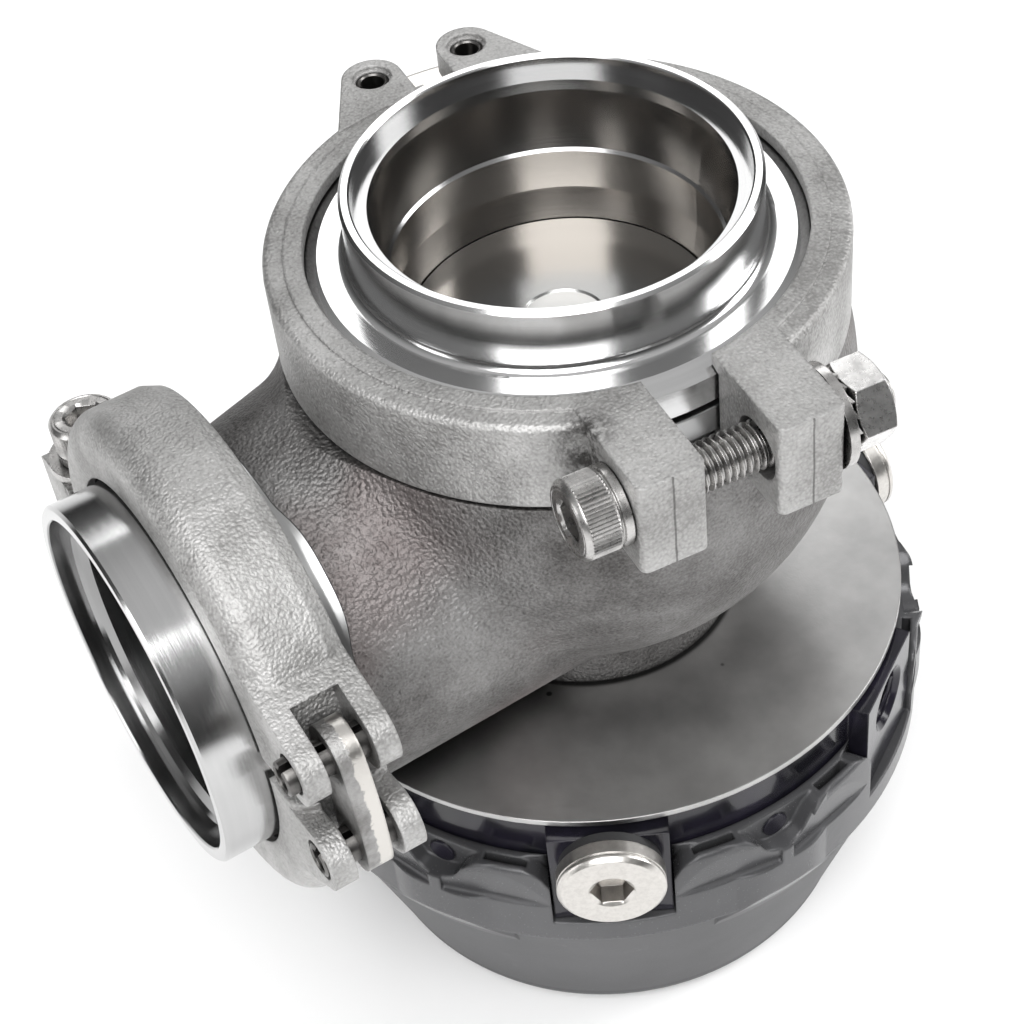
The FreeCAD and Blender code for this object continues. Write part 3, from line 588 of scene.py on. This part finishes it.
# Hinge pins: slotted roll pins of dark spring steel, pressed into the clamp halves.
# Each end shows as a dark hole with a thin rim. The outlet's stand out past their ears at one end.
def roll_pin(low, high):
    """A split sleeve along +Z, with its slot left open and its two ends rounded."""
    mesh = bmesh.new()
    slot = 24
    outside = 0.0030
    inside = 0.0021
    lip = 0.0024
    wall = [(inside, low + 0.0003), (lip, low), (outside - 0.0001, low + 0.0003),
            (outside, low + 0.0008), (outside, high - 0.0008), (outside - 0.0001, high - 0.0003),
            (lip, high), (inside, high - 0.0003)]
    points = [mesh.verts.new((r, 0, at)) for r, at in wall]
    loop = [mesh.edges.new(pair) for pair in zip(points, points[1:] + points[:1])]
    bmesh.ops.spin(mesh, geom=points + loop, axis=(0, 0, 1), cent=(0, 0, 0), steps=44,
                   dvec=(0, 0, 0), angle=math.radians(360 - slot))
    bmesh.ops.holes_fill(mesh, edges=mesh.edges, sides=0)
    bmesh.ops.recalc_face_normals(mesh, faces=mesh.faces)
    return mesh


slot_turn = math.radians(200)
dark_steel = plain_stainless("dark spring steel", (0.16, 0.155, 0.15), 0.32, 0.0001)
for side, high_end, lows in (("inlet", 0.0079, (-0.0079, -0.0079)),
                             ("outlet", 0.0072, (-0.0099, -0.0084))):
    for end, low_end, body in zip("ab", lows, ("housing", side + "_swing")):
        node = side + "_clamp_pin_" + end
        low, high = (Vector(corner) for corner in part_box(node))
        place = Matrix.Translation((low + high) / 2)
        if side == "outlet":
            place = place @ Matrix.Rotation(math.radians(90), 4, "Y")
        pin = put(roll_pin(low_end, high_end), place @ Matrix.Rotation(slot_turn, 4, "Z"))
        piece_from(pin, node.replace("pin", "roll_pin"), body, [node],
                   dark_steel)


# Heat shield and gasket: a flat satin disc over a pressed fibre ring.
# The sheet is lightly scuffed, cloudy to the eye, and carries a few dark specks.
foot_radius = 0.0279

sheet = Finish("satin sheet", (0.46, 0.455, 0.45), 1.0, 0.36)
at = sheet.place()
brushed = sheet.noise(at, 0.0008, 3.0, 0.6)
cloud = sheet.noise(at, 0.020, 4.0, 0.6)
speck = sheet.node("ShaderNodeTexVoronoi", sockets={"Vector": at, "Scale": 85.0})
dark_marks = 1 - sheet.clamp(speck, 0.035, 0.065)
x, y, z = sheet.axes(at)
# Painted shade: a dark ring round the housing's foot and darker corners.
foot = 1 - sheet.clamp((x * x + y * y) ** 0.5, foot_radius, foot_radius + 0.0011)
painted_nook_shade = sheet.sum("MAXIMUM", foot, sheet.clamp(1 - sheet.creases(0.009), 0.25, 0.8) * 0.8)
plain = sheet.colours(cloud, (0.3, (0.38, 0.377, 0.375)), (0.7, (0.58, 0.577, 0.57)))
marked = sheet.blend(dark_marks, plain, (0.07, 0.07, 0.07, 1))
sheet.feed(
    base_color=sheet.blend(painted_nook_shade, marked, (0.06, 0.06, 0.06, 1)),
    roughness=0.26 + brushed * 0.10 + cloud * 0.12,
    normal=sheet.bump(brushed * 0.5 + cloud * 0.5, 0.00006, 0.7, sheet.edges(0.0003)))
wear("heat_shield", sheet)

fibre = Finish("pressed fibre", (0.36, 0.34, 0.30), 0.0, 0.9)
at = fibre.place()
fibre.feed(normal=fibre.bump(fibre.noise(at, 0.0006, 4.0), 0.0001))
wear("insulating_gasket", fibre)


# Actuator base and cap: both turned and milled from aluminium and anodised.
# The base is glossy black, the skirt of the cup a satin grey and its lower part duller.
gloss = Finish("gloss black", (0.012, 0.0105, 0.020), 0.0, 0.14, coat_weight=0.2,
               coat_roughness=0.06, specular_ior_level=0.3)
at = gloss.place()
smear = gloss.noise(at, 0.009, 3.0, 0.6)
gloss.feed(
    base_color=gloss.colours(smear, (0.35, (0.007, 0.007, 0.009)), (0.65, (0.015, 0.013, 0.022))),
    roughness=0.10 + smear * 0.16,
    normal=gloss.bump(gloss.noise(at, 0.004), 0.00002, 0.5, gloss.edges(0.0005)))
wear("actuator_base", gloss)
wear("cap_pins", gloss)

skirt_foot = 0.0405

satin = Finish("satin dark grey", (0.055, 0.055, 0.058), 0.35, 0.34)
at = satin.place()
x, y, z = satin.axes(at)
grain = satin.noise(at, 0.0004, 3.0, 0.6)
cloud = satin.noise(at, 0.03, 3.0, 0.6)
skirt = satin.clamp(z, skirt_foot, skirt_foot + 0.0030)
rub = satin.clamp(satin.noise(at, 0.005, 4.0, 0.7), 0.60, 0.75) * 0.5
anodised = satin.colours(cloud, (0.3, (0.062, 0.062, 0.065)), (0.7, (0.092, 0.092, 0.096)))
satin.feed(
    base_color=satin.blend(rub, anodised, (0.12, 0.12, 0.122, 1)),
    roughness=0.46 - skirt * 0.24 + grain * 0.08,
    normal=satin.bump(grain, 0.00004, 0.6, satin.edges(0.0009)))
wear("actuator_cap", satin)


# Port plugs and seals: bright plated socket plugs over black sealing washers.
# The open port shows the first turns of its thread.
port_height = 0.0633
plugged_ports = (-120.0, 0.0)
open_port = -58.5
plug_foot = 0.0616
boss_face = 0.0598


def port_place(azimuth, out):
    """+Z of a piece made at the origin becomes the port's axis, pointing out of the base."""
    aim = Vector((math.cos(math.radians(azimuth)), math.sin(math.radians(azimuth)), 0))
    turn = aim.to_track_quat("Z", "Y").to_matrix().to_4x4()
    return Matrix.Translation(aim * out + Vector((0, 0, port_height))) @ turn


def socket_plug():
    count = 96
    key = flats(0.0066, count)
    rings = [(0.0, -0.0004), (0.0024, 0.0004), (key, 0.0006), (key, 0.0039), (0.0040, 0.0043),
             (0.00415, 0.0044), (0.0087, 0.0044), (0.0094, 0.0038), (0.0095, 0.0036),
             (0.0095, 0.0031), (0.0093, 0.0030), (0.0093, 0.0028), (0.0095, 0.0027),
             (0.0095, 0.0003), (0.0092, 0.0), (0.0053, 0.0), (0.0053, -0.0100),
             (0.0043, -0.0110), (0.0, -0.0110)]
    return ring_stack(rings, count)


plating = Finish("bright plating", (0.66, 0.64, 0.61), 1.0, 0.3)
at = plating.place()
marks = plating.noise(at, 0.0009, 4.0, 0.65)
# Painted shade: darker in corners and in the hex socket.
painted_nook_shade = plating.clamp(1 - plating.creases(0.006), 0.3, 0.8) * 0.85
plating.feed(
    base_color=plating.blend(painted_nook_shade, plating.colours(marks, (0.3, (0.56, 0.54, 0.515)),
                                                   (0.6, (0.66, 0.64, 0.61))),
                             (0.10, 0.09, 0.085, 1)),
    roughness=0.24 + marks * 0.14,
    normal=plating.bump(marks, 0.00002, 0.5, plating.edges(0.0002)))
plugs = joined([put(socket_plug(), port_place(azimuth, plug_foot)) for azimuth in plugged_ports])
piece_from(plugs, "port_socket_plugs", "housing", ["port_plug"], plating)

seal = Finish("black sealing washer", (0.02, 0.02, 0.021), 0.0, 0.5)
at = seal.place()
seal.feed(roughness=0.42 + seal.noise(at, 0.0006) * 0.2,
          normal=seal.bump(seal.noise(at, 0.0005, 3.0), 0.00003, 0.6, seal.edges(0.0002)))
wear("port_plug_washer", seal)


def port_thread():
    """One ridge wound round the inside of the open port, its two ends closed."""
    mesh = bmesh.new()
    outline = [(0.00528, 0.0001), (0.0048, 0.00058), (0.0048, 0.00078), (0.00528, 0.00126)]
    points = [mesh.verts.new((r, 0, up - 0.0098)) for r, up in outline]
    loop = [mesh.edges.new(pair) for pair in zip(points, points[1:] + points[:1])]
    pitch = 0.0015
    steps = 28
    turns = 5
    bmesh.ops.spin(mesh, geom=points + loop, axis=(0, 0, 1), cent=(0, 0, 0), steps=steps * turns,
                   dvec=(0, 0, pitch / steps), angle=math.tau * turns)
    bmesh.ops.holes_fill(mesh, edges=mesh.edges, sides=0)
    bmesh.ops.recalc_face_normals(mesh, faces=mesh.faces)
    return put(mesh, port_place(open_port, boss_face))


piece_from(port_thread(), "open_port_thread", "housing", [], gloss)


# Inside the actuator: a moulded rubber diaphragm, aluminium plates and two wire springs.
# In the valve the diaphragm's middle rides with the stem and the springs shorten as it opens; here
# both are drawn at rest.
rubber = Finish("moulded rubber", (0.025, 0.025, 0.026), 0.0, 0.6)
at = rubber.place()
rubber.feed(roughness=0.5 + rubber.noise(at, 0.001) * 0.2)
wear("stem_seal", rubber)
skin = ring_stack([(0.0032, 0.0406), (0.0420, 0.0406), (0.0445, 0.0416), (0.0490, 0.0470),
                   (0.0510, 0.0480), (0.0570, 0.0480), (0.0570, 0.0455), (0.0530, 0.0455),
                   (0.0510, 0.0461), (0.0455, 0.0396), (0.0440, 0.0394), (0.0032, 0.0394),
                   (0.0032, 0.0406)], 96)
moulded = piece_from(skin, "rolling_diaphragm", None, ["diaphragm"], rubber)
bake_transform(moulded)

plates = Finish("machined aluminium", (0.72, 0.72, 0.73), 1.0, 0.3)
at = plates.place()
plates.feed(roughness=0.24 + plates.noise(at, 0.001) * 0.16)
wear("diaphragm_plate", plates)
wear("spring_retainer", plates)

coil = Finish("drawn spring wire", (0.32, 0.33, 0.36), 1.0, 0.3)
at = coil.place()
coil.feed(roughness=0.24 + coil.noise(at, 0.0008) * 0.16)


cap_floor = 0.0041
retainer_face = 0.0373


def wire_spring(radius, wire, turns):
    """Round wire wound up +Z between the cap's floor and the retainer, its ends closed."""
    low = cap_floor + wire
    high = retainer_face - wire
    mesh = bmesh.new()
    upright = Matrix.Translation((radius, 0, low)) @ Matrix.Rotation(math.radians(90), 4, "X")
    bmesh.ops.create_circle(mesh, segments=14, radius=wire, matrix=upright)
    steps = 36 * turns
    ends = list(mesh.verts) + list(mesh.edges)
    bmesh.ops.spin(mesh, geom=ends, axis=(0, 0, 1), cent=(0, 0, 0), steps=steps,
                   dvec=(0, 0, (high - low) / steps), angle=math.tau * turns)
    bmesh.ops.holes_fill(mesh, edges=mesh.edges, sides=0)
    bmesh.ops.recalc_face_normals(mesh, faces=mesh.faces)
    return mesh


for name, radius, wire, turns in (("outer", 0.033, 0.0025, 4), ("inner", 0.019, 0.0020, 5)):
    wound = piece_from(wire_spring(radius, wire, turns), name + "_wire_spring", "housing",
                       [name + "_spring"], coil)
    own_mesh(wound)


# Studio: a pale floor and soft lights. The metal reflects a surround that darkens towards the
# horizon, while the camera itself sees a pale one. The camera stands where the photograph's
# ellipses put it.
floor_mesh = bmesh.new()
bmesh.ops.create_grid(floor_mesh, x_segments=1, y_segments=1, size=3.0)
floor_data = bpy.data.meshes.new("floor")
floor_mesh.to_mesh(floor_data)
floor_mesh.free()
floor = bpy.data.objects.new("floor", floor_data)
bpy.context.scene.collection.objects.link(floor)
pale = Finish("pale floor", (0.88, 0.88, 0.88), 0.0, 0.9)
floor_data.materials.append(pale.material)


class Surround(Finish):
    """The light from all round, built by the same nodes as a finish."""

    def __init__(self, name):
        world = bpy.data.worlds.new(name)
        world.use_nodes = True
        bpy.context.scene.world = world
        self.tree = world.node_tree


studio = Surround("studio")
heading = studio.axes(studio.node("ShaderNodeTexCoord", out="Generated"))[2]
dimming = studio.colours(
    heading, (0.0, (0.03, 0.03, 0.03)), (0.45, (0.20, 0.20, 0.20)), (1.0, (1.0, 1.0, 1.0)))
reflected = studio.node("ShaderNodeBackground", sockets={"Color": dimming, "Strength": 0.75})
backdrop = studio.node("ShaderNodeBackground", sockets={"Color": (0.9, 0.9, 0.9, 1)})
seen = studio.node("ShaderNodeLightPath", out="Is Camera Ray")
either = studio.node("ShaderNodeMixShader", sockets={0: seen, 1: reflected, 2: backdrop})
studio.tree.links.new(either.socket, studio.tree.nodes["World Output"].inputs["Surface"])
bpy.context.scene.view_settings.view_transform = "Standard"


def soft_light(name, spot, size, power):
    aim = Vector((0, 0, 0.09))
    lamp = bpy.data.lights.new(name, "AREA")
    lamp.shape = "RECTANGLE"
    lamp.size, lamp.size_y = size
    lamp.energy = power
    lit = bpy.data.objects.new(name, lamp)
    lit.location = spot
    lit.rotation_euler = (aim - Vector(spot)).to_track_quat("-Z", "Y").to_euler()
    bpy.context.scene.collection.objects.link(lit)


soft_light("front", spot=(-0.60, -0.80, 1.25), size=(1.2, 1.2), power=27.0)
soft_light("right", spot=(1.0, -0.35, 0.65), size=(0.5, 0.8), power=9.0)
soft_light("back", spot=(0.42, 0.90, 0.80), size=(0.6, 0.5), power=2.6)
soft_light("left", spot=(-0.95, 0.1, 0.35), size=(0.3, 0.5), power=1.6)

tilt = math.radians(45.57)
roll = math.radians(7.081)
distance = 0.41157
sideways = 0.012573
part_top = 0.166
below_top = 0.07494
focal_pixels = 2261.3
photo_pixels = 1024
sensor = 36
turn = Matrix.Rotation(math.radians(-26.85), 3, "Z")
right = turn @ Vector((1, 0, 0))
up = turn @ Vector((0, math.sin(tilt), math.cos(tilt)))
back = turn @ Vector((0, -math.cos(tilt), math.sin(tilt)))
lens = bpy.data.cameras.new("camera")
lens.lens = focal_pixels / photo_pixels * sensor
lens.sensor_width = sensor
lens.clip_start, lens.clip_end = 0.01, 10
camera = bpy.data.objects.new("camera", lens)
across = right * math.cos(roll) - up * math.sin(roll)
upward = right * math.sin(roll) + up * math.cos(roll)
stand = Matrix((across, upward, back)).transposed().to_4x4()
stand.translation = back * distance - right * sideways + Vector((0, 0, part_top - below_top))
camera.matrix_world = stand
bpy.context.scene.collection.objects.link(camera)
bpy.context.scene.camera = camera
